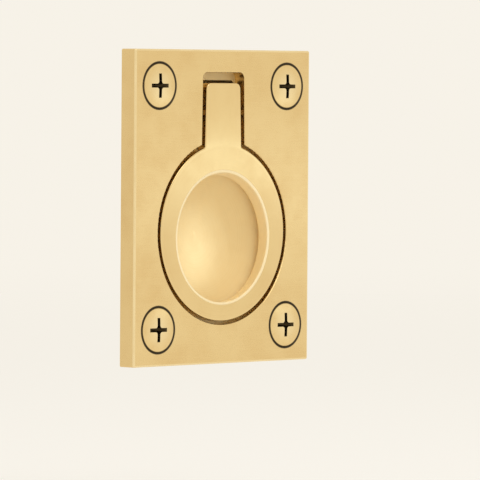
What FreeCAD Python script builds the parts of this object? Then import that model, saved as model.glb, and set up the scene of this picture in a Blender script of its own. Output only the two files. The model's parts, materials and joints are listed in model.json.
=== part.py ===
"""Flush ring pull: a cast brass plate let into a door, a ring that lies flush in it, and four screws."""
import FreeCAD, Part
import Sketcher
import os

# Driving sizes in millimetres. X runs across the plate, +Z is up and the face looks along -Y.
# The back of the plate lies on y = 0, and the origin is the middle of the four screws.
SIZES = {
    # Ring, lying in its recess. Its finger hole sits a little lower than its rim.
    "ring_radius": 18.35,
    "ring_wall": 4.92,
    "ring_thickness": 2.6,
    "ring_front_round": 0.25,
    "ring_back_round": 0.35,
    "ring_gap": 0.8,
    "ring_rest_gap": 0.15,
    "finger_hole_drop": 1.03,
    "finger_hole_draft": 0.2,
    "finger_hole_lean": 0.5,
    # Tang, the strap above the ring that carries the hinge, and its slot
    "tang_length": 12.58,
    "tang_root_sink": 0.85,
    "tang_width": 10.8,
    "tang_taper": 0.8,
    "tang_corner_radius": 1.3,
    "tang_root_round": 0.4,
    "slot_gap_above": 2.17,
    "slot_gap_beside_top": 1.13,
    "slot_gap_beside_root": 0.95,
    "slot_corner_radius": 1.25,
    # Plate, by the land that it leaves round the recess, and the places of its four screws
    "plate_thickness": 4.0,
    "land_above": 4.7,
    "land_beside": 6.85,
    "land_below": 8.05,
    "plate_corner_round": 0.4,
    "plate_edge_round": 0.3,
    "recess_edge_round": 0.2,
    "screw_inset_across": 7.0,
    "screw_inset_up": 7.5,
    # Hinge. The heel is the end of the tang above the pin.
    "heel_length": 6.13,
    "pin_diameter": 2.0,
    "pin_blind_reach": 3.2,
    "pin_end_gap": 0.2,
    "pin_end_chamfer": 0.3,
    "pin_press_clearance": 0.01,
    "pin_running_clearance": 0.06,
    "eye_wall": 0.85,
    "eye_sink": 0.09,
    "eye_inset": 0.5,
    # Cored pocket behind the slot, where the heel of the tang swings
    "pocket_gap_beside": 0.2,
    "pocket_gap_below": 0.3,
    "pocket_gap_behind": 0.2,
    "pocket_step_above": 1.6,
    "pocket_slope_drop": 1.0,
    "pocket_corner_radius": 0.8,
    "housing_wall": 1.5,
    "housing_corner_radius": 1.2,
    # Bowl for the finger, and the casting behind the plate
    "ledge_width": 3.25,
    "bowl_depth": 6.0,
    "cup_wall": 1.6,
    "boss_wall": 1.75,
    "boss_step": 1.0,
    "boss_edge_round": 0.4,
    # Screws, metric 5 mm with a 90 degree countersunk head
    "screw_thread_diameter": 5.0,
    "screw_neck_relief": 0.3,
    "screw_hole_clearance": 0.25,
    "screw_length": 8.0,
    "screw_end_chamfer": 0.4,
    "screw_head_diameter": 9.3,
    "screw_head_dome": 0.3,
    "screw_head_rim": 0.08,
    "screw_head_gap": 0.04,
    "cross_span": 5.1,
    "cross_floor_span": 2.4,
    "cross_width": 0.95,
    "cross_depth": 2.1,
}

# Places and sizes that several pieces share, as expressions on the sheet.
# First the recess, the plate round it and the places across and up.
RECESS_RADIUS = "(sizes.ring_radius + sizes.ring_gap)"
PLATE_WIDTH = f"(2 * ({RECESS_RADIUS} + sizes.land_beside))"
RECESS_HEIGHT = f"({RECESS_RADIUS} + sizes.ring_radius + sizes.tang_length + sizes.slot_gap_above)"
PLATE_HEIGHT = f"(sizes.land_below + {RECESS_HEIGHT} + sizes.land_above)"
RING_UP = f"(sizes.land_below + {RECESS_RADIUS} - {PLATE_HEIGHT} / 2)"
SCREW_ACROSS = f"({PLATE_WIDTH} / 2 - sizes.screw_inset_across)"
SCREW_UP = f"({PLATE_HEIGHT} / 2 - sizes.screw_inset_up)"
FINGER_HOLE_UP = f"({RING_UP} - sizes.finger_hole_drop)"
FINGER_HOLE_RADIUS = "(sizes.ring_radius - sizes.ring_wall)"
TANG_TOP = f"({RING_UP} + sizes.ring_radius + sizes.tang_length)"
TANG_ROOT = f"({RING_UP} + sizes.ring_radius - sizes.tang_root_sink)"
TANG_TOP_WIDTH = "(sizes.tang_width - sizes.tang_taper)"
SLOT_TOP = f"({TANG_TOP} + sizes.slot_gap_above)"
SLOT_HALF_TOP = f"({TANG_TOP_WIDTH} / 2 + sizes.slot_gap_beside_top)"
SLOT_HALF_ROOT = "(sizes.tang_width / 2 + sizes.slot_gap_beside_root)"
# Then the depths, the hinge, the bowl and the screw holes.
FACE_Y = "(-sizes.plate_thickness)"
RECESS_DEPTH = "(sizes.ring_thickness + sizes.ring_rest_gap)"
LEDGE_Y = f"({RECESS_DEPTH} - sizes.plate_thickness)"
EYE_HOLE_RADIUS = "(sizes.pin_diameter / 2 + sizes.pin_running_clearance)"
EYE_RADIUS = f"({EYE_HOLE_RADIUS} + sizes.eye_wall)"
PIN_Y = f"({FACE_Y} + {EYE_RADIUS} + sizes.eye_sink)"
PIN_UP = f"({TANG_TOP} - sizes.heel_length)"
PIN_HOLE_END_X = f"(-{SLOT_HALF_ROOT} - sizes.pin_blind_reach)"
POCKET_HALF = "(sizes.tang_width / 2 + sizes.pocket_gap_beside)"
POCKET_FLOOR_UP = f"({PIN_UP} - {EYE_RADIUS} - sizes.pocket_gap_below)"
POCKET_BACK_Y = f"({PIN_Y} + sizes.heel_length + sizes.pocket_gap_behind)"
POCKET_TOP = f"({SLOT_TOP} - sizes.pocket_step_above)"
POCKET_SLOPE_UP = f"({POCKET_TOP} - sizes.pocket_slope_drop)"
BOWL_RIM_RADIUS = f"({RECESS_RADIUS} - sizes.ledge_width)"
BOWL_SPHERE = f"(({BOWL_RIM_RADIUS}^2 + sizes.bowl_depth^2) / (2 * sizes.bowl_depth))"
BOWL_BOTTOM_Y = f"({LEDGE_Y} + sizes.bowl_depth)"
BOWL_CENTRE_Y = f"({BOWL_BOTTOM_Y} - {BOWL_SPHERE})"
HEAD_RADIUS = "(sizes.screw_head_diameter / 2)"
COUNTERSINK_RADIUS = f"({HEAD_RADIUS} + sizes.screw_head_rim + sizes.screw_head_gap)"

# Two places this near to each other count as the same, in millimetres
NEAR = 0.01

document = FreeCAD.newDocument("flush_ring_pull")


def make_sheet():
    """The sheet of driving sizes, one row each."""
    sheet = document.addObject("Spreadsheet::Sheet", "sizes")
    for row, (name, value) in enumerate(SIZES.items(), start=1):
        sheet.set(f"A{row}", name)
        sheet.set(f"B{row}", str(value))
        sheet.setAlias(f"B{row}", name)
    document.recompute()
    return sheet


def measure(expression):
    """What an expression on the sheet comes to."""
    return float(document.getObject("sizes").evalExpression(expression.replace("sizes.", "")))


def make_body(name):
    body = document.addObject("PartDesign::Body", name)
    body.Label = name
    body.Placement = FreeCAD.Placement()
    return body


def origin_feature(body, role):
    return next(feature for feature in body.Origin.OriginFeatures if feature.Role == role)


def add_sketch(body, name, plane, offset=("0", "0", "0")):
    """A sketch on one of the body's own planes, moved by offset in that plane's directions."""
    sketch = body.newObject("Sketcher::SketchObject", name)
    sketch.AttachmentSupport = [(origin_feature(body, plane), "")]
    sketch.MapMode = "FlatFace"
    for direction, distance in zip("xyz", offset):
        sketch.setExpression(f".AttachmentOffset.Base.{direction}", distance)
    return sketch


def face_sketch(body, name):
    """A sketch on the plate's front face: across is X, and up is Z."""
    return add_sketch(body, name, "XZ_Plane", ("0", "0", "sizes.plate_thickness"))


def hold(sketch, kind, places, expression):
    """A dimension that follows the sheet."""
    number = sketch.addConstraint(Sketcher.Constraint(kind, *places, measure(expression)))
    sketch.setExpression(f"Constraints[{number}]", expression)


def hold_point(sketch, item, end, across, up):
    """Dimensions from the sketch's origin to one point, in the directions that are given."""
    if across is not None:
        hold(sketch, "DistanceX", (-1, 1, item, end), across)
    if up is not None:
        hold(sketch, "DistanceY", (-1, 1, item, end), up)


def draw_circle(sketch, across, up, radius):
    centre = FreeCAD.Vector(measure(across), measure(up), 0)
    item = sketch.addGeometry(Part.Circle(centre, FreeCAD.Vector(0, 0, 1), measure(radius)), False)
    hold(sketch, "Radius", (item,), radius)
    hold_point(sketch, item, 3, across, up)


def draw_outline(sketch, corners):
    """A closed outline of straight lines through corners, each held across and up."""
    points = [FreeCAD.Vector(measure(across), measure(up), 0) for across, up in corners]
    for start, end in zip(points, points[1:] + points[:1]):
        sketch.addGeometry(Part.LineSegment(start, end), False)
    for item, (across, up) in enumerate(corners):
        following = (item + 1) % len(corners)
        sketch.addConstraint(Sketcher.Constraint("Coincident", item, 2, following, 1))
        hold_point(sketch, item, 1, across, up)


def draw_cap(sketch, flat, centre, tip):
    """Half the section of a spherical cap beside the sketch's level axis, from flat to tip.

    The level axis runs along the cap's own axis, and centre is the sphere's.
    """
    flat_at = measure(flat)
    centre_at = measure(centre)
    tip_at = measure(tip)

    def on_sphere(along):
        height = ((tip_at - centre_at) ** 2 - (along - centre_at) ** 2) ** 0.5
        return FreeCAD.Vector(along, height, 0)

    foot = FreeCAD.Vector(flat_at, 0, 0)
    corner = on_sphere(flat_at)
    tip_point = FreeCAD.Vector(tip_at, 0, 0)
    axis_line = sketch.addGeometry(Part.LineSegment(tip_point, foot), False)
    flat_line = sketch.addGeometry(Part.LineSegment(foot, corner), False)
    arc = sketch.addGeometry(Part.Arc(corner, on_sphere((flat_at + tip_at) / 2), tip_point), False)
    arc_starts_at_tip = sketch.getPoint(arc, 1).isEqual(tip_point, NEAR)
    tip_end, corner_end = (1, 2) if arc_starts_at_tip else (2, 1)
    sketch.addConstraint(Sketcher.Constraint("Coincident", axis_line, 2, flat_line, 1))
    sketch.addConstraint(Sketcher.Constraint("Coincident", flat_line, 2, arc, corner_end))
    sketch.addConstraint(Sketcher.Constraint("Coincident", arc, tip_end, axis_line, 1))
    sketch.addConstraint(Sketcher.Constraint("Horizontal", axis_line))
    sketch.addConstraint(Sketcher.Constraint("Vertical", flat_line))
    hold_point(sketch, axis_line, 1, tip, "0")
    hold_point(sketch, flat_line, 1, flat, None)
    hold_point(sketch, arc, 3, centre, "0")


def extrude(body, kind, name, sketch, length, reverse=False, both_ways=False):
    """A Pad or a Pocket. both_ways spreads its length evenly on the two sides of the sketch."""
    feature = body.newObject(f"PartDesign::{kind}", name)
    feature.Profile = sketch
    feature.Reversed = reverse
    feature.SideType = "Symmetric" if both_ways else "One side"
    feature.setExpression("Length", length)
    return feature


def revolve(body, kind, name, sketch):
    """A Revolution or a Groove, once round the sketch's level axis."""
    feature = body.newObject(f"PartDesign::{kind}", name)
    feature.Profile = sketch
    feature.ReferenceAxis = (sketch, ["H_Axis"])
    feature.Angle = 360
    return feature


def dress(body, kind, name, wanted, size):
    """A Fillet or a Chamfer on those edges of the body so far whose box passes wanted."""
    document.recompute()
    base = body.Tip
    edges = [
        f"Edge{number}"
        for number, edge in enumerate(base.Shape.Edges, start=1)
        if wanted(edge.BoundBox)
    ]
    feature = body.newObject(f"PartDesign::{kind}", name)
    feature.Base = (base, edges)
    feature.setExpression("Radius" if kind == "Fillet" else "Size", size)
    return feature


def same(one, other):
    return abs(one - other) < NEAR


def flat_at_y(box, y):
    return same(box.YMin, y) and same(box.YMax, y)


def runs_along_y(box):
    return box.XLength < NEAR and box.ZLength < NEAR


def cast_plate(body):
    """The plate, and the mass behind it that goes into the mortise."""
    outline = add_sketch(body, "plate_outline", "XZ_Plane")
    draw_outline(
        outline,
        [
            (f"-{PLATE_WIDTH} / 2", f"-{PLATE_HEIGHT} / 2"),
            (f"{PLATE_WIDTH} / 2", f"-{PLATE_HEIGHT} / 2"),
            (f"{PLATE_WIDTH} / 2", f"{PLATE_HEIGHT} / 2"),
            (f"-{PLATE_WIDTH} / 2", f"{PLATE_HEIGHT} / 2"),
        ],
    )
    extrude(body, "Pad", "plate", outline, "sizes.plate_thickness")
    dress(body, "Fillet", "plate_corners", runs_along_y, "sizes.plate_corner_round")

    boss_outline = add_sketch(body, "boss_outline", "XZ_Plane")
    draw_circle(boss_outline, "0", RING_UP, f"{RECESS_RADIUS} + sizes.boss_wall")
    extrude(body, "Pad", "boss", boss_outline, "sizes.boss_step", reverse=True)

    neck_half = f"({SLOT_HALF_ROOT} + sizes.boss_wall)"
    neck_top = f"{SLOT_TOP} + sizes.boss_wall"
    neck_outline = add_sketch(body, "boss_neck_outline", "XZ_Plane")
    draw_outline(
        neck_outline,
        [
            (f"-{neck_half}", RING_UP),
            (neck_half, RING_UP),
            (neck_half, neck_top),
            (f"-{neck_half}", neck_top),
        ],
    )
    extrude(body, "Pad", "boss_neck", neck_outline, "sizes.boss_step", reverse=True)

    cup_section = add_sketch(body, "cup_section", "YZ_Plane", ("0", FINGER_HOLE_UP, "0"))
    draw_cap(cup_section, "0", BOWL_CENTRE_Y, f"{BOWL_BOTTOM_Y} + sizes.cup_wall")
    revolve(body, "Revolution", "cup", cup_section)

    housing_section = add_sketch(body, "housing_section", "YZ_Plane")
    draw_outline(
        housing_section,
        [
            ("0", f"{POCKET_FLOOR_UP} - sizes.housing_wall"),
            (f"{POCKET_BACK_Y} + sizes.housing_wall", f"{POCKET_FLOOR_UP} - sizes.housing_wall"),
            (f"{POCKET_BACK_Y} + sizes.housing_wall", POCKET_SLOPE_UP),
            ("0", neck_top),
        ],
    )
    housing_width = f"2 * ({POCKET_HALF} + sizes.housing_wall)"
    extrude(body, "Pad", "hinge_housing", housing_section, housing_width, both_ways=True)


def round_the_back(body):
    """Casting radii on what stands behind the plate."""
    housing_back = measure(f"{POCKET_BACK_Y} + sizes.housing_wall")
    step = measure("sizes.boss_step")

    def housing_edge(box):
        return same(box.YMax, housing_back) and box.YMin > step + NEAR

    def boss_edge(box):
        return flat_at_y(box, step) and box.ZMin < measure(f"{RING_UP} - {RECESS_RADIUS}")

    dress(body, "Fillet", "housing_round", housing_edge, "sizes.housing_corner_radius")
    dress(body, "Fillet", "boss_round", boss_edge, "sizes.boss_edge_round")


def ease_the_front(body):
    """Broken edges round the plate's face and round the recess."""
    face = measure(FACE_Y)
    rim_across = measure(f"{PLATE_WIDTH} / 2 - sizes.plate_corner_round") - NEAR
    rim_up = measure(f"{PLATE_HEIGHT} / 2 - sizes.plate_corner_round") - NEAR

    def at_rim(box):
        return abs(box.Center.x) > rim_across or abs(box.Center.z) > rim_up

    def plate_edge(box):
        return flat_at_y(box, face) and at_rim(box)

    def recess_edge(box):
        return flat_at_y(box, face) and not at_rim(box)

    dress(body, "Fillet", "plate_edges", plate_edge, "sizes.plate_edge_round")
    dress(body, "Fillet", "recess_edges", recess_edge, "sizes.recess_edge_round")


def cut_recess(body):
    """The keyhole recess that the ring lies in, the cored hinge pocket and the bowl."""
    ring_recess = face_sketch(body, "ring_recess_outline")
    draw_circle(ring_recess, "0", RING_UP, RECESS_RADIUS)
    extrude(body, "Pocket", "ring_recess", ring_recess, RECESS_DEPTH)

    tang_slot = face_sketch(body, "tang_slot_outline")
    draw_outline(
        tang_slot,
        [
            (f"-{SLOT_HALF_ROOT}", RING_UP),
            (SLOT_HALF_ROOT, RING_UP),
            (SLOT_HALF_ROOT, TANG_ROOT),
            (SLOT_HALF_TOP, SLOT_TOP),
            (f"-{SLOT_HALF_TOP}", SLOT_TOP),
            (f"-{SLOT_HALF_ROOT}", TANG_ROOT),
        ],
    )
    extrude(body, "Pocket", "tang_slot", tang_slot, RECESS_DEPTH)

    def slot_corner(box):
        at_top = same(box.ZMin, measure(SLOT_TOP))
        return runs_along_y(box) and at_top and same(abs(box.XMin), measure(SLOT_HALF_TOP))

    dress(body, "Fillet", "slot_corners", slot_corner, "sizes.slot_corner_radius")

    pocket_section = add_sketch(body, "hinge_pocket_section", "YZ_Plane")
    draw_outline(
        pocket_section,
        [
            (LEDGE_Y, POCKET_FLOOR_UP),
            (POCKET_BACK_Y, POCKET_FLOOR_UP),
            (POCKET_BACK_Y, POCKET_SLOPE_UP),
            (LEDGE_Y, POCKET_TOP),
        ],
    )
    extrude(body, "Pocket", "hinge_pocket", pocket_section, f"2 * {POCKET_HALF}", both_ways=True)
    pocket_back = measure(POCKET_BACK_Y)

    def pocket_corner(box):
        return same(box.YMax, pocket_back) and same(abs(box.XMin), measure(POCKET_HALF))

    dress(body, "Fillet", "pocket_corners", pocket_corner, "sizes.pocket_corner_radius")

    bowl_section = add_sketch(body, "bowl_section", "YZ_Plane", ("0", FINGER_HOLE_UP, "0"))
    draw_cap(bowl_section, LEDGE_Y, BOWL_CENTRE_Y, BOWL_BOTTOM_Y)
    revolve(body, "Groove", "bowl", bowl_section)


def drill_plate(body):
    """Four countersunk screw holes, and the long hole for the pin from the plate's right edge."""
    places = face_sketch(body, "screw_places")
    for side in ("-", ""):
        for end in ("-", ""):
            draw_circle(
                places,
                f"{side}{SCREW_ACROSS}",
                f"{end}{SCREW_UP}",
                "sizes.screw_thread_diameter / 2 + sizes.screw_hole_clearance",
            )
    document.recompute()
    holes = body.newObject("PartDesign::Hole", "screw_holes")
    holes.Profile = places
    document.recompute()
    holes.ThreadType = "None"
    holes.DepthType = "ThroughAll"
    holes.HoleCutType = "Countersink"
    holes.HoleCutCustomValues = True
    holes.HoleCutCountersinkAngle = 90
    hole_diameter = "sizes.screw_thread_diameter + 2 * sizes.screw_hole_clearance"
    holes.setExpression("Diameter", hole_diameter)
    holes.setExpression("HoleCutDiameter", f"2 * {COUNTERSINK_RADIUS}")

    pin_hole = add_sketch(body, "pin_hole_place", "YZ_Plane", ("0", "0", f"{PLATE_WIDTH} / 2"))
    pin_hole_radius = "sizes.pin_diameter / 2 + sizes.pin_press_clearance"
    draw_circle(pin_hole, PIN_Y, PIN_UP, pin_hole_radius)
    extrude(body, "Pocket", "pin_hole", pin_hole, f"{PLATE_WIDTH} / 2 - {PIN_HOLE_END_X}")


def make_backplate():
    """One brass casting: plate, recess, bowl and hinge housing."""
    body = make_body("backplate")
    cast_plate(body)
    round_the_back(body)
    cut_recess(body)
    ease_the_front(body)
    drill_plate(body)
    return body


def make_pull_ring():
    """One brass casting: flat ring, tang and hinge eye."""
    body = make_body("pull_ring")
    disc = face_sketch(body, "ring_outline")
    draw_circle(disc, "0", RING_UP, "sizes.ring_radius")
    extrude(body, "Pad", "ring_disc", disc, "sizes.ring_thickness", reverse=True)

    tang_outline = face_sketch(body, "tang_outline")
    draw_outline(
        tang_outline,
        [
            ("-sizes.tang_width / 2", RING_UP),
            ("sizes.tang_width / 2", RING_UP),
            ("sizes.tang_width / 2", TANG_ROOT),
            (f"{TANG_TOP_WIDTH} / 2", TANG_TOP),
            (f"-{TANG_TOP_WIDTH} / 2", TANG_TOP),
            ("-sizes.tang_width / 2", TANG_ROOT),
        ],
    )
    extrude(body, "Pad", "tang", tang_outline, "sizes.ring_thickness", reverse=True)

    def tang_corner(box):
        return runs_along_y(box) and same(box.ZMin, measure(TANG_TOP))

    def tang_root(box):
        return runs_along_y(box) and box.ZMin < measure(PIN_UP)

    dress(body, "Fillet", "tang_corners", tang_corner, "sizes.tang_corner_radius")
    dress(body, "Fillet", "tang_roots", tang_root, "sizes.tang_root_round")

    front = measure(FACE_Y)
    back = measure("sizes.ring_thickness - sizes.plate_thickness")
    dress(body, "Fillet", "front_edges", lambda box: flat_at_y(box, front), "sizes.ring_front_round")
    dress(body, "Fillet", "back_edges", lambda box: flat_at_y(box, back), "sizes.ring_back_round")

    hole_front = face_sketch(body, "finger_hole_front")
    draw_circle(hole_front, "0", FINGER_HOLE_UP, FINGER_HOLE_RADIUS)
    hole_back = add_sketch(
        body,
        "finger_hole_back",
        "XZ_Plane",
        ("0", "0", "sizes.plate_thickness - sizes.ring_thickness"),
    )
    draw_circle(
        hole_back,
        "0",
        f"{FINGER_HOLE_UP} - sizes.finger_hole_lean",
        f"{FINGER_HOLE_RADIUS} - sizes.finger_hole_draft",
    )
    finger_hole = body.newObject("PartDesign::SubtractiveLoft", "finger_hole")
    finger_hole.Profile = hole_front
    finger_hole.Sections = [hole_back]
    hole_width = measure(f"2 * {FINGER_HOLE_RADIUS}") + NEAR

    def hole_edge_at(depth):
        return lambda box: flat_at_y(box, depth) and box.XLength < hole_width

    dress(body, "Fillet", "hole_mouth", hole_edge_at(front), "sizes.ring_front_round")
    dress(body, "Fillet", "hole_back_edge", hole_edge_at(back), "sizes.ring_back_round")

    eye_outline = add_sketch(body, "eye_outline", "YZ_Plane")
    draw_circle(eye_outline, PIN_Y, PIN_UP, EYE_RADIUS)
    eye_width = f"{TANG_TOP_WIDTH} - 2 * sizes.eye_inset"
    extrude(body, "Pad", "eye", eye_outline, eye_width, both_ways=True)

    eye_hole = add_sketch(body, "eye_hole_outline", "YZ_Plane")
    draw_circle(eye_hole, PIN_Y, PIN_UP, EYE_HOLE_RADIUS)
    extrude(body, "Pocket", "eye_hole", eye_hole, "sizes.tang_width", both_ways=True)
    return body


def make_hinge_pin():
    """Plain brass rod, driven in from the plate's right edge and dressed flush with it."""
    body = make_body("hinge_pin")
    section = add_sketch(body, "pin_section", "YZ_Plane", ("0", "0", f"{PLATE_WIDTH} / 2"))
    draw_circle(section, PIN_Y, PIN_UP, "sizes.pin_diameter / 2")
    length = f"{PLATE_WIDTH} / 2 - {PIN_HOLE_END_X} - sizes.pin_end_gap"
    extrude(body, "Pad", "pin", section, length, reverse=True)
    blind_end = measure(f"{PIN_HOLE_END_X} + sizes.pin_end_gap")
    dress(
        body,
        "Chamfer",
        "pin_lead",
        lambda box: same(box.XMax, blind_end),
        "sizes.pin_end_chamfer",
    )
    return body


def make_fixing_screws():
    """Four countersunk machine screws with a cross recess, turned and rolled from brass."""
    body = make_body("fixing_screws")
    first_across = f"-{SCREW_ACROSS}"
    first_up = f"-{SCREW_UP}"
    beside = ("0", first_up, first_across)
    thread_radius = "(sizes.screw_thread_diameter / 2)"
    neck_radius = f"({thread_radius} - sizes.screw_neck_relief)"
    rim_back = f"({FACE_Y} + sizes.screw_head_rim)"
    tip = f"({FACE_Y} + sizes.screw_length)"

    profile = add_sketch(body, "screw_section", "YZ_Plane", beside)
    draw_outline(
        profile,
        [
            (FACE_Y, "0"),
            (FACE_Y, HEAD_RADIUS),
            (rim_back, HEAD_RADIUS),
            (f"{rim_back} + {HEAD_RADIUS} - {neck_radius}", neck_radius),
            ("0", neck_radius),
            ("0", f"{thread_radius} - sizes.screw_end_chamfer / 2"),
            ("sizes.screw_end_chamfer / 2", thread_radius),
            (f"{tip} - sizes.screw_end_chamfer", thread_radius),
            (tip, f"{thread_radius} - sizes.screw_end_chamfer"),
            (tip, "0"),
        ],
    )
    shank = revolve(body, "Revolution", "screw", profile)

    dome_top = f"({FACE_Y} - sizes.screw_head_dome)"
    dome_sphere = f"(({HEAD_RADIUS}^2 + sizes.screw_head_dome^2) / (2 * sizes.screw_head_dome))"
    dome_section = add_sketch(body, "dome_section", "YZ_Plane", beside)
    draw_cap(dome_section, FACE_Y, f"{dome_top} + {dome_sphere}", dome_top)
    dome = revolve(body, "Revolution", "screw_dome", dome_section)

    cross_floor = f"({dome_top} + sizes.cross_depth)"
    wings = []
    for name, plane, offset in (
        ("upright_wing", "YZ_Plane", beside),
        ("level_wing", "XY_Plane", (first_across, "0", first_up)),
    ):
        section = add_sketch(body, f"{name}_section", plane, offset)
        corners = [
            (dome_top, "-sizes.cross_span / 2"),
            (dome_top, "sizes.cross_span / 2"),
            (cross_floor, "sizes.cross_floor_span / 2"),
            (cross_floor, "-sizes.cross_floor_span / 2"),
        ]
        if plane == "XY_Plane":
            corners = [(across, along) for along, across in corners]
        draw_outline(section, corners)
        wings.append(extrude(body, "Pocket", name, section, "sizes.cross_width", both_ways=True))

    document.recompute()
    pattern = body.newObject("PartDesign::LinearPattern", "four_screws")
    pattern.Originals = [shank, dome] + wings
    pattern.Direction = (origin_feature(body, "X_Axis"), [""])
    pattern.setExpression("Length", f"2 * {SCREW_ACROSS}")
    pattern.Occurrences = 2
    pattern.Direction2 = (origin_feature(body, "Z_Axis"), [""])
    pattern.setExpression("Length2", f"2 * {SCREW_UP}")
    pattern.Occurrences2 = 2
    body.Tip = pattern
    return body


def check_and_export(bodies):
    """Stops if anything failed, and writes each sub-part's solids to a file named after it."""
    document.recompute()
    failed = [item.Name for item in document.Objects if {"Invalid", "Error"} & set(item.State)]
    if failed:
        raise RuntimeError(f"these failed: {failed}")
    os.makedirs("parts", exist_ok=True)
    for body in bodies:
        if body.Shape.isNull() or not body.Shape.isValid():
            raise RuntimeError(f"{body.Label} has no valid shape")
        body.Shape.exportStep(f"parts/{body.Label}.step")
        print(body.Label, len(body.Shape.Solids), "solids,", round(body.Shape.Volume, 2), "mm3")


make_sheet()
check_and_export(
    [
        make_backplate(),
        make_pull_ring(),
        make_hinge_pin(),
        make_fixing_screws(),
    ]
)
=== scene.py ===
import bmesh
import bpy
import json
import math
from mathutils import Matrix, Quaternion, Vector


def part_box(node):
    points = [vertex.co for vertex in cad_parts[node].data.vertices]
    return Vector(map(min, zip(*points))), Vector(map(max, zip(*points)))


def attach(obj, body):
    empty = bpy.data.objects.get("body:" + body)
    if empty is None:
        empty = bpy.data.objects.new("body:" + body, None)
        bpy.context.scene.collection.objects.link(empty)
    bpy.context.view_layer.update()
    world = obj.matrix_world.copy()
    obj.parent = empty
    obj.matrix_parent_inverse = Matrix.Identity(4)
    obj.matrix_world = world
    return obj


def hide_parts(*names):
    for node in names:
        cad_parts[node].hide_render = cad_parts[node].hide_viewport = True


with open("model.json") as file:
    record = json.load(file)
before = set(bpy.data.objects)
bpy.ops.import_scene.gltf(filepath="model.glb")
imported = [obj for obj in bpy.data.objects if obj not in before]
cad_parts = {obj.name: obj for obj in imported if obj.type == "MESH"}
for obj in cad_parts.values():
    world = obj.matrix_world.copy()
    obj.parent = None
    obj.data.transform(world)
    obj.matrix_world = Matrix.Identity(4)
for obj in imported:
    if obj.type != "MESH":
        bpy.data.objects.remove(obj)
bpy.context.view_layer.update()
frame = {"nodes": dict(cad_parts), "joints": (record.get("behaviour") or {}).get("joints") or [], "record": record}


# Backplate: one brass casting, 52 x 65 mm and 4 mm thick, let into a door. Its face, recess and
# bowl are machined and satin finished, its back is linished flat, and what stands behind it is
# left as cast. Four screws hold it from the front.
MM = 0.001


def in_mm(metres):
    """A size of the frame in millimetres, without the frame's rounding."""
    return round(metres / MM, 3)


plate_low, plate_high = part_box("backplate")
screw_spacing = frame["record"]["mounts"][0]["dims"]
hinge_place = frame["joints"][0]["pos_m"]
# How far its edges are from the middle, and the depths of its face and of the ring's ledge
PLATE_SIDE = in_mm(plate_high.x)
PLATE_END = in_mm(plate_high.z)
PLATE_FACE = in_mm(plate_low.y)
LEDGE = -1.25
# The height of the bowl's middle, and how far round it the recess was turned
FINGER_HOLE_UP = -6.33
TURNED_REACH = 19.75
# Where the screws and the hinge pin are, and the radii of their seats in the plate
SCREW_ACROSS = screw_spacing["spacing_x_mm"] / 2
SCREW_UP = screw_spacing["spacing_y_mm"] / 2
SCREW_SEAT_RADIUS = 4.77
PIN_DEPTH = in_mm(hinge_place[1])
PIN_UP = in_mm(hinge_place[2])
PIN_RADIUS = 1.0

FRESH_BRASS_AND_PAINTED_LIGHT = (0.94, 0.775, 0.45, 1.0)
BRIGHT_BRASS = (0.84, 0.63, 0.30, 1.0)
WARM_BRASS = (0.74, 0.51, 0.215, 1.0)
MILLED_BRASS = (0.84, 0.70, 0.42, 1.0)
DULL_BRASS = (0.42, 0.27, 0.11, 1.0)
DIRT_AND_SHADE = (0.03, 0.02, 0.01, 1.0)


class Shade:
    """A socket of a material's node tree. Arithmetic on it adds the nodes that do the sum."""

    def __init__(self, tree, socket=None):
        self.tree = tree
        self.socket = socket

    def node(self, kind, settings=None, sockets=None, out=0):
        """Adds a node of that kind and returns one of its outputs, by number or by name."""
        node = self.tree.nodes.new(kind)
        for name, value in (settings or {}).items():
            setattr(node, name, value)
        for name, value in (sockets or {}).items():
            if isinstance(value, Shade):
                self.tree.links.new(value.socket, node.inputs[name])
            else:
                node.inputs[name].default_value = value
        return Shade(self.tree, node.outputs[out])

    def math(self, operation, *terms):
        return self.node("ShaderNodeMath", {"operation": operation}, dict(enumerate(terms)))

    def __add__(self, other):
        return self.math("ADD", self, other)

    __radd__ = __add__

    def __sub__(self, other):
        return self.math("SUBTRACT", self, other)

    def __rsub__(self, other):
        return self.math("SUBTRACT", other, self)

    def __mul__(self, other):
        return self.math("MULTIPLY", self, other)

    __rmul__ = __mul__

    def __abs__(self):
        return self.math("ABSOLUTE", self)

    def larger(self, other):
        return self.math("MAXIMUM", self, other)

    def step(self, low, high):
        """0 up to low, 1 from high on and smooth between them. Falls instead where low > high."""
        return self.node(
            "ShaderNodeMapRange",
            {"interpolation_type": "SMOOTHSTEP"},
            {"Value": self, "From Min": low, "From Max": high, "To Min": 0.0, "To Max": 1.0},
        )

    def join(self, x, y, z):
        """The vector x, y, z."""
        return self.node("ShaderNodeCombineXYZ", None, {0: x, 1: y, 2: z})

    def split(self):
        """The three parts of a vector."""
        return [self.node("ShaderNodeSeparateXYZ", None, {0: self}, part) for part in range(3)]

    def length(self):
        """How long a vector is."""
        settings = {"operation": "LENGTH"}
        return self.node("ShaderNodeVectorMath", settings, {"Vector": self}, "Value")

    def noise(self, scale, detail=2.0, roughness=0.5):
        """Cloudy noise at the place that a vector gives, mostly between -0.5 and 0.5."""
        sockets = {"Vector": self, "Scale": scale, "Detail": detail, "Roughness": roughness}
        return self.node("ShaderNodeTexNoise", None, sockets) - 0.5

    def tool_marks(self, scale):
        """Noise as fine as a tool leaves, for a vector that is stretched along the marks."""
        return self.noise(scale, detail=3.0, roughness=0.6)

    def blend(self, first, second):
        """The colour first where this is 0 and the colour second where it is 1."""
        settings = {"data_type": "RGBA"}
        return self.node("ShaderNodeMix", settings, {0: self, 6: first, 7: second}, 2)


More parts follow.
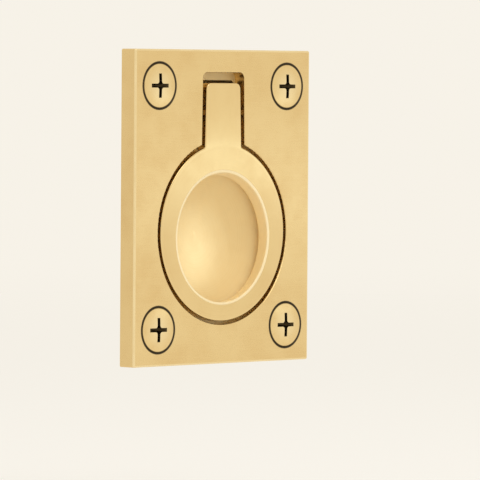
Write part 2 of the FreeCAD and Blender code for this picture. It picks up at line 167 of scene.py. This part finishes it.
class Metal:
    """A bare metal's material, with its places in millimetres of the row frame."""

    def __init__(self, name):
        self.material = bpy.data.materials.new(name)
        self.material.use_nodes = True
        self.tree = self.material.node_tree
        self.shader = self.tree.nodes["Principled BSDF"]
        self.shader.inputs["Metallic"].default_value = 1.0
        metres = Shade(self.tree).node("ShaderNodeTexCoord", out="Object")
        sockets = {"Vector": metres, "Scale": 1.0 / MM}
        self.at = metres.node("ShaderNodeVectorMath", {"operation": "SCALE"}, sockets)
        self.x, self.y, self.z = self.at.split()

    def lacquer(self, weight, roughness):
        """A thin coat of lacquer, which may be thinner or gone in places."""
        if isinstance(weight, Shade):
            self.tree.links.new(weight.socket, self.shader.inputs["Coat Weight"])
        else:
            self.shader.inputs["Coat Weight"].default_value = weight
        self.shader.inputs["Coat Roughness"].default_value = roughness

    def finish(self, colour, roughness, relief):
        """Sets the look and returns the material. relief is the fine surface's height in mm."""
        bump = relief.node("ShaderNodeBump", None, {"Distance": MM, "Height": relief})
        for name, value in (("Base Color", colour), ("Roughness", roughness), ("Normal", bump)):
            self.tree.links.new(value.socket, self.shader.inputs[name])
        return self.material


def dress(piece, material):
    """Gives the object of a CAD node one material all over."""
    piece.data.materials.clear()
    piece.data.materials.append(material)
    for polygon in piece.data.polygons:
        polygon.material_index = 0


plate = Metal("plate_brass")
at = plate.at
from_bowl = at.join(plate.x, 0.0, plate.z - FINGER_HOLE_UP).length()
from_screw = at.join(abs(plate.x) - SCREW_ACROSS, 0.0, abs(plate.z) - SCREW_UP).length()
from_pin = at.join(0.0, plate.y - PIN_DEPTH, plate.z - PIN_UP).length()
past_outline = (abs(plate.x) - PLATE_SIDE).larger(abs(plate.z) - PLATE_END)
normal = at.node(
    "ShaderNodeVectorTransform",
    {"vector_type": "NORMAL", "convert_from": "WORLD", "convert_to": "OBJECT"},
    {"Vector": at.node("ShaderNodeNewGeometry", out="True Normal")},
)

# Where each part of it is: behind, in the bowl, on the ledge, on its sides and along its edges
faces_front = normal.split()[1].step(-0.05, -0.3)
cast = plate.y.step(0.01, 0.06) * (1.0 - faces_front)
bowl = plate.y.step(LEDGE + 0.05, LEDGE + 0.35) * faces_front
ledge = plate.y.step(LEDGE - 0.95, LEDGE - 0.45) * faces_front * (1.0 - bowl)
in_recess = plate.y.step(PLATE_FACE + 0.4, PLATE_FACE + 0.8)
in_recess = in_recess * from_bowl.step(TURNED_REACH + 0.15, TURNED_REACH - 0.15)
side_shade = past_outline.step(-0.1, -0.02)
worn_edge_highlight = past_outline.step(-0.5, -0.25) * plate.y.step(PLATE_FACE + 0.5, PLATE_FACE + 0.25)

# Marks of the tools, the skin of the casting, and what the years have left
grain = at.join(plate.x * 0.12, plate.y, plate.z * 3.2).tool_marks(2.6)
rings = at.join(from_bowl, 0.0, 0.0).tool_marks(5.0) * from_bowl.step(0.5, 2.5)
tooling = grain + (rings - grain) * in_recess
lumps = at.noise(0.5, detail=3.0)
sand = at.noise(3.0, detail=3.0, roughness=0.6)
clouds = at.noise(0.09, detail=4.0)
smudges = at.noise(0.35, detail=3.0, roughness=0.55)
specks = at.noise(3.5)
tarnish = (0.36 + clouds * 1.1 + smudges * 0.3 + tooling * 0.5).step(0.0, 1.0)
oxide = 0.62 + lumps * 0.35 + sand * 0.3 + clouds * 0.5
seam = from_screw.step(SCREW_SEAT_RADIUS + 0.31 + specks * 0.2, SCREW_SEAT_RADIUS + 0.16)
seam = seam * plate.y.step(PLATE_FACE + 1.0, PLATE_FACE + 0.6)
pin_seam = from_pin.step(PIN_RADIUS + 0.16, PIN_RADIUS + 0.06)
seam = seam.larger(pin_seam * plate.x.step(PLATE_SIDE - 0.2, PLATE_SIDE - 0.05))

colour = tarnish.blend(BRIGHT_BRASS, WARM_BRASS)
colour = (cast * oxide).blend(colour, DULL_BRASS)
colour = (ledge * 0.8).blend(colour, MILLED_BRASS)
# The bowl is painted paler: partly freshly turned brass, partly painted light that lifts the shade inside it
colour = (bowl * (0.75 + rings * 0.7)).blend(colour, FRESH_BRASS_AND_PAINTED_LIGHT)
colour = (seam * 0.97).blend(colour, DIRT_AND_SHADE)
# Painted shade: the plate's side faces are made a little darker than its face
colour = (side_shade * 0.13).blend(colour, DULL_BRASS)
# Its front edges are paler: partly wear, partly a painted highlight along them
colour = (worn_edge_highlight * (0.7 + smudges * 0.8)).blend(colour, FRESH_BRASS_AND_PAINTED_LIGHT)
roughness = 0.27 + smudges * 0.08 + specks * 0.04
roughness = roughness + cast * 0.28 + bowl * 0.40 + ledge * 0.4 + seam * 0.2
relief = tooling * 0.0045 * (1.0 - cast) + (lumps * 0.10 + sand * 0.05) * cast
plate.lacquer((1.0 - bowl) * 0.2, 0.18)
dress(frame["nodes"]["backplate"], plate.finish(colour, roughness, relief))


# Pull ring: one flat brass casting with its tang and hinge eye, satin finished on the face and
# rubbed bright by fingers round its rim; the wall of its hole is painted pale, partly as finger
# rubbing and partly as painted light. Its eye hangs on the hinge pin.
RING_RADIUS = in_mm(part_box("pull_ring")[1].x)
RING_UP = -5.3
RING_HOLE_RADIUS = 13.43
TANG_ROOT = 12.2
RUBBED_AND_PAINTED_LIGHT_BRASS = (1.0, 0.89, 0.63, 1.0)

ring = Metal("ring_brass")
at = ring.at
from_centre = at.join(ring.x, 0.0, ring.z - RING_UP).length()
from_hole = at.join(ring.x, 0.0, ring.z - FINGER_HOLE_UP).length()
on_tang = ring.z.step(TANG_ROOT + 0.2, TANG_ROOT + 2.4)
rim_wear = from_centre.step(RING_RADIUS - 0.85, RING_RADIUS - 0.15) * (1.0 - on_tang)
hole_wall = from_hole.step(RING_HOLE_RADIUS + 0.67, RING_HOLE_RADIUS + 0.37)

turned = at.join(from_centre, 0.0, 0.0).tool_marks(4.0)
along = at.join(ring.x * 3.2, ring.y, ring.z * 0.12).tool_marks(2.6)
tooling = turned + (along - turned) * on_tang
clouds = at.noise(0.11, detail=4.0)
smudges = at.noise(0.4, detail=3.0, roughness=0.55)
specks = at.noise(3.5)
tarnish = 0.30 + clouds * 1.0 + smudges * 0.3 - rim_wear * 0.2 + tooling * 0.5
hand_polish = ring.z * 0.027 + ring.x * 0.011

colour = tarnish.step(0.0, 1.0).blend(BRIGHT_BRASS, WARM_BRASS)
# The wall of the finger hole is painted pale: partly finger rubbing, partly painted light that lifts its shade
colour = (hole_wall * 0.9).blend(colour, RUBBED_AND_PAINTED_LIGHT_BRASS)
roughness = 0.195 + smudges * 0.06 + specks * 0.03 - rim_wear * 0.03 + hole_wall * 0.5
ring.lacquer(0.2, 0.15)
relief = tooling * 0.0025 + hand_polish
dress(frame["nodes"]["pull_ring"], ring.finish(colour, roughness, relief))


# Hinge pin: a drawn brass rod, 2 mm thick, that the ring's eye turns on. It is driven in from the
# plate's right edge and dressed flush with it.
pin = Metal("pin_brass")
drawn = pin.at.join(pin.x * 0.1, pin.y * 4.0, pin.z * 4.0).noise(2.0, detail=3.0)
# The middle of the pin, where it shows in the slot, is darkened: partly old oil, partly painted shade
oil_and_painted_shade = abs(pin.x).step(12.0, 8.0)
colour = (0.5 + drawn * 0.8).step(0.0, 1.0).blend(BRIGHT_BRASS, WARM_BRASS)
colour = (oil_and_painted_shade * 0.7).blend(colour, DIRT_AND_SHADE)
dress(frame["nodes"]["hinge_pin"], pin.finish(colour, 0.24 + drawn * 0.1, drawn * 0.003))


# Fixing screws: four M5 countersunk machine screws, turned from brass, with a pressed cross
# recess and a rolled thread. They go through the plate into the door.
HEAD_RADIUS = 4.65
HEAD_DOME = 0.3
HEAD_TOP = PLATE_FACE - HEAD_DOME
HEAD_RIM = 0.08
RIM_ROUND = 0.03
DOME_SHARE = 0.985
DOME_RINGS = 12
NECK_RADIUS = 2.2
NECK_ROUND = 0.15
THREAD_RADIUS = 2.5
THREAD_ROOT = 2.03
THREAD_PITCH = 0.8
THREAD_START = 0.1
THREAD_RUN_IN = 0.6
THREAD_LAYERS = 64
ROOT_SHARE = 0.11
FLANK_SHARE = 0.43
SCREW_TIP = in_mm(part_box("fixing_screws")[1].y)
TIP_CHAMFER = 0.4
SIDES_AROUND = 72
CROSS_DEPTH = 2.0
ROUND_START = 0.30
ROUND_BEND = 0.06


def head_and_neck():
    """Radius and depth of each ring, from near the top of the dome to where the thread starts."""
    outline = []
    for ring_number in range(1, DOME_RINGS + 1):
        radius = DOME_SHARE * HEAD_RADIUS * ring_number / DOME_RINGS
        outline.append((radius, PLATE_FACE - HEAD_DOME * (1 - (radius / HEAD_RADIUS) ** 2)))
    rim_back = PLATE_FACE + HEAD_RIM
    cone_foot = rim_back + HEAD_RADIUS - NECK_RADIUS
    outline.append((HEAD_RADIUS - RIM_ROUND * 2 / 3, PLATE_FACE + RIM_ROUND / 3))
    outline.append((HEAD_RADIUS, PLATE_FACE + RIM_ROUND))
    outline.append((HEAD_RADIUS, rim_back))
    outline.append((NECK_RADIUS + NECK_ROUND, cone_foot - NECK_ROUND))
    outline.append((NECK_RADIUS + NECK_ROUND / 5, cone_foot + NECK_ROUND / 3))
    outline.append((NECK_RADIUS, cone_foot + NECK_ROUND * 5 / 3))
    outline.append((NECK_RADIUS, THREAD_START))
    return outline


def thread_radius(depth, turn):
    """The radius at a depth and at a share of a turn. Each side of a groove is half the pitch:
    its flat root up to ROOT_SHARE of the pitch, its flank up to FLANK_SHARE, then the crest."""
    phase = (depth / THREAD_PITCH - turn) % 1.0
    flank = min(phase, 1.0 - phase)
    height = min(1.0, max(0.0, (flank - ROOT_SHARE) / (FLANK_SHARE - ROOT_SHARE)))
    run_in = min(1.0, max(0.0, (depth - THREAD_START) / THREAD_RUN_IN))
    radius = THREAD_ROOT + (THREAD_RADIUS - THREAD_ROOT) * height * run_in
    radius = max(radius, NECK_RADIUS - (NECK_RADIUS - THREAD_ROOT) * run_in)
    return min(radius, THREAD_RADIUS - max(0.0, depth - (SCREW_TIP - TIP_CHAMFER)))


def finished_mesh(name, build):
    """The mesh of a closed bmesh, its faces turned outwards."""
    bmesh.ops.recalc_face_normals(build, faces=build.faces)
    mesh = bpy.data.meshes.new(name)
    build.to_mesh(mesh)
    build.free()
    return mesh


def screw_blank():
    """The whole screw before its recess is pressed, as a closed mesh in millimetres."""
    build = bmesh.new()
    loops = []
    for radius, depth in head_and_neck():
        loops.append([(radius, depth)] * SIDES_AROUND)
    for layer in range(1, THREAD_LAYERS + 1):
        depth = THREAD_START + (SCREW_TIP - THREAD_START) * layer / THREAD_LAYERS
        loops.append([(thread_radius(depth, n / SIDES_AROUND), depth) for n in range(SIDES_AROUND)])
    rows = []
    for loop in loops:
        row = []
        for number, (radius, depth) in enumerate(loop):
            angle = 2 * math.pi * number / SIDES_AROUND
            row.append(build.verts.new((radius * math.cos(angle), depth, radius * math.sin(angle))))
        rows.append(row)
    top = build.verts.new((0.0, HEAD_TOP, 0.0))
    tip = build.verts.new((0.0, SCREW_TIP, 0.0))
    for number in range(SIDES_AROUND):
        following = (number + 1) % SIDES_AROUND
        build.faces.new((top, rows[0][number], rows[0][following]))
        build.faces.new((tip, rows[-1][following], rows[-1][number]))
        for near, far in zip(rows, rows[1:]):
            build.faces.new((near[number], far[number], far[following], near[following]))
    return finished_mesh("screw_blank", build)


def recess_punch():
    """What presses the cross recess: four tapered wings round a core that ends in a blunt point.
    A round of three flats joins each wing to the next. It starts ROUND_START past the core's
    corner and bends ROUND_BEND past it."""
    build = bmesh.new()
    # Depth below the head's top, half the cross's span, half a wing's width and the core's radius
    levels = (
        (-0.3, 2.75, 0.46, 1.02),
        (0.0, 2.55, 0.41, 0.88),
        (0.5, 2.24, 0.37, 0.78),
        (1.1, 1.87, 0.32, 0.66),
        (1.7, 1.46, 0.26, 0.52),
        (2.05, 1.10, 0.20, 0.40),
        (2.25, 0.62, 0.13, 0.26),
    )
    rows = []
    for depth, half_span, half_width, core in levels:
        row = []
        corner = core * math.cos(math.pi / 4)
        flare = (corner - half_width) / 4
        for quarter in range(4):
            turned = Matrix.Rotation(math.pi / 2 * quarter, 2)
            for place in (
                (half_width + flare, corner + ROUND_BEND),
                (half_width, corner + ROUND_START),
                (half_width, half_span),
                (-half_width, half_span),
                (-half_width, corner + ROUND_START),
                (-half_width - flare, corner + ROUND_BEND),
            ):
                across, up = turned @ Vector(place)
                row.append(build.verts.new((across, HEAD_TOP + depth, up)))
        rows.append(row)
    for near, far in zip(rows, rows[1:]):
        for number in range(len(near)):
            following = (number + 1) % len(near)
            build.faces.new((near[number], near[following], far[following], far[number]))
    build.faces.new(rows[0])
    build.faces.new(rows[-1])
    return finished_mesh("recess_punch", build)


def pressed(blank_mesh, punch_mesh):
    """The blank with the punch cut out of it."""
    blank = bpy.data.objects.new("blank", blank_mesh)
    punch = bpy.data.objects.new("punch", punch_mesh)
    for item in (blank, punch):
        bpy.context.scene.collection.objects.link(item)
    cut = blank.modifiers.new("recess", "BOOLEAN")
    cut.operation = "DIFFERENCE"
    cut.solver = "EXACT"
    cut.object = punch
    bpy.context.view_layer.update()
    cut_blank = blank.evaluated_get(bpy.context.evaluated_depsgraph_get())
    mesh = bpy.data.meshes.new_from_object(cut_blank)
    for item in (blank, punch):
        bpy.data.objects.remove(item)
    return mesh


screw_mesh = pressed(screw_blank(), recess_punch())
screw_mesh.transform(Matrix.Scale(MM, 4))
screw_mesh.shade_smooth()
screw_mesh.set_sharp_from_angle(angle=math.radians(32))

screw = Metal("screw_brass")
at = screw.at
from_axis = at.join(screw.x, 0.0, screw.z).length()
in_recess = screw.y.step(PLATE_FACE - 0.2, PLATE_FACE - 0.12)
in_recess = in_recess * screw.y.step(PLATE_FACE + CROSS_DEPTH + 0.4, PLATE_FACE + CROSS_DEPTH)
in_recess = in_recess * from_axis.step(2.9, 2.7)
# Painted highlight: each head is paler towards its middle, fading out to its rim
painted_head_highlight = from_axis.step(4.5, 0.5) * screw.y.step(PLATE_FACE + 0.2, PLATE_FACE + 0.05)

turning = at.join(from_axis, screw.y * 0.5, 0.0).tool_marks(6.0)
smudges = at.noise(0.6, detail=3.0)
specks = at.noise(4.0)
seam = from_axis.step(HEAD_RADIUS - 0.27 + specks * 0.1, HEAD_RADIUS - 0.15)
seam = seam * screw.y.step(PLATE_FACE + 0.5, PLATE_FACE + 0.1)

colour = (0.25 + smudges * 0.9 + turning * 0.5).step(0.0, 1.0).blend(BRIGHT_BRASS, WARM_BRASS)
colour = (painted_head_highlight * 0.7).blend(colour, FRESH_BRASS_AND_PAINTED_LIGHT)
# The cross recess is painted near black, partly as dirt and partly as painted shade; the dark ring at the head's
# rim is dirt in the joint
colour = (in_recess.larger(seam) * 0.93).blend(colour, DIRT_AND_SHADE)
roughness = 0.24 + smudges * 0.08 + specks * 0.05 + in_recess * 0.2 + seam * 0.2
screw_mesh.materials.clear()
screw_mesh.materials.append(screw.finish(colour, roughness, turning * 0.004))

corners = (
    ("screw_top_left", -1, 1),
    ("screw_top_right", 1, 1),
    ("screw_bottom_left", -1, -1),
    ("screw_bottom_right", 1, -1),
)
for quarter, (name, side, end) in enumerate(corners):
    piece = bpy.data.objects.new(name, screw_mesh)
    piece.location = (side * SCREW_ACROSS * MM, 0.0, end * SCREW_UP * MM)
    piece.rotation_euler = (0.0, math.pi / 2 * quarter, 0.0)
    bpy.context.scene.collection.objects.link(piece)
    bpy.context.view_layer.update()
    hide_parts("fixing_screws")
    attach(piece, "plate")


# Floor and backdrop: a pale floor well below the plate, which fades out into the pale backdrop,
# because the plate is made to hang on a door.
FLOOR_LEVEL = -0.065
FLOOR_RADIUS = 1.6
FLOOR_FADES_FROM = 0.3
FLOOR_FADES_TO = 1.5
FLOOR_WHITE = (0.95, 0.95, 0.95, 1.0)
BACKDROP_CREAM = (0.93, 0.888, 0.805, 1.0)

floor_mesh = bpy.data.meshes.new("floor")
build = bmesh.new()
bmesh.ops.create_circle(build, cap_ends=True, segments=64, radius=FLOOR_RADIUS)
build.to_mesh(floor_mesh)
build.free()
floor = bpy.data.objects.new("floor", floor_mesh)
floor.location = (0.0, 0.0, FLOOR_LEVEL)
bpy.context.scene.collection.objects.link(floor)

floor_material = bpy.data.materials.new("floor")
floor_material.use_nodes = True
floor_tree = floor_material.node_tree
floor_shader = floor_tree.nodes["Principled BSDF"]
floor_shader.inputs["Base Color"].default_value = FLOOR_WHITE
floor_shader.inputs["Roughness"].default_value = 0.9
floor_shader.inputs["Specular IOR Level"].default_value = 0.0
reach = Shade(floor_tree).node("ShaderNodeTexCoord", out="Object").length()
shown = reach.step(FLOOR_FADES_TO, FLOOR_FADES_FROM)
floor_tree.links.new(shown.socket, floor_shader.inputs["Alpha"])
floor_mesh.materials.append(floor_material)

world = bpy.data.worlds.new("studio")
world.use_nodes = True
backdrop = world.node_tree.nodes["Background"]
backdrop.inputs["Color"].default_value = BACKDROP_CREAM
backdrop.inputs["Strength"].default_value = 1.0
bpy.context.scene.world = world


# Lights: a small soft box on the right, level with the plate, which its satin faces mirror as a
# soft band, a narrow beam from the upper right that falls through the finger hole on the bowl,
# and a large soft box above.
COOL_WHITE = (0.6, 0.78, 1.0)
WHITE = (1.0, 1.0, 1.0)
PLATE_MIDDLE = (0.0, -0.004, 0.0)
BOWL_MOUTH = (0.0, -0.004, -0.0063)
ORIGIN = (0.0, 0.0, 0.0)


def add_light(name, kind, place, aim, power, colour, settings):
    """A lamp at place that points at aim, both in metres."""
    data = bpy.data.lights.new(name, kind)
    data.energy = power
    data.color = colour
    for setting, value in settings.items():
        setattr(data, setting, value)
    light = bpy.data.objects.new(name, data)
    light.location = place
    light.rotation_mode = "QUATERNION"
    light.rotation_quaternion = (Vector(place) - Vector(aim)).to_track_quat("Z", "Y")
    light.visible_camera = False
    bpy.context.scene.collection.objects.link(light)


face_box = {"shape": "RECTANGLE", "size": 0.07, "size_y": 0.012}
add_light("face_box", "AREA", (0.145, -0.142, -0.002), PLATE_MIDDLE, 0.0021, COOL_WHITE, face_box)
bowl_beam = {"spot_size": math.radians(2.75), "spot_blend": 0.7, "shadow_soft_size": 0.003}
add_light("bowl_beam", "SPOT", (0.278, -0.401, 0.115), BOWL_MOUTH, 2.8, COOL_WHITE, bowl_beam)
top_box = {"shape": "RECTANGLE", "size": 0.5, "size_y": 0.5}
add_light("top_box", "AREA", (-0.15, -0.5, 0.7), ORIGIN, 0.9, WHITE, top_box)


# Camera: the picture's viewing angle, from the left at 46 degrees and nearly level, far enough
# away for the picture's weak perspective.
CAMERA_TURN = math.radians(-46.406)
CAMERA_TILT = math.radians(1.793)
CAMERA_ROLL = math.radians(0.410)
CAMERA_DISTANCE = 1.05489
CAMERA_AIM = Vector((0.005116, -0.004, -0.006981))

camera_data = bpy.data.cameras.new("camera")
camera_data.sensor_width = 36.0
camera_data.lens = 380.55
camera_data.clip_start = 0.05
camera_data.clip_end = 20.0
camera = bpy.data.objects.new("camera", camera_data)
away = Vector(
    (
        math.sin(CAMERA_TURN) * math.cos(CAMERA_TILT),
        -math.cos(CAMERA_TURN) * math.cos(CAMERA_TILT),
        math.sin(CAMERA_TILT),
    )
)
camera.location = CAMERA_AIM + away * CAMERA_DISTANCE
camera.rotation_mode = "QUATERNION"
camera.rotation_quaternion = away.to_track_quat("Z", "Y") @ Quaternion((0, 0, 1), CAMERA_ROLL)
bpy.context.scene.collection.objects.link(camera)
bpy.context.scene.camera = camera
bpy.context.scene.view_settings.view_transform = "Standard"
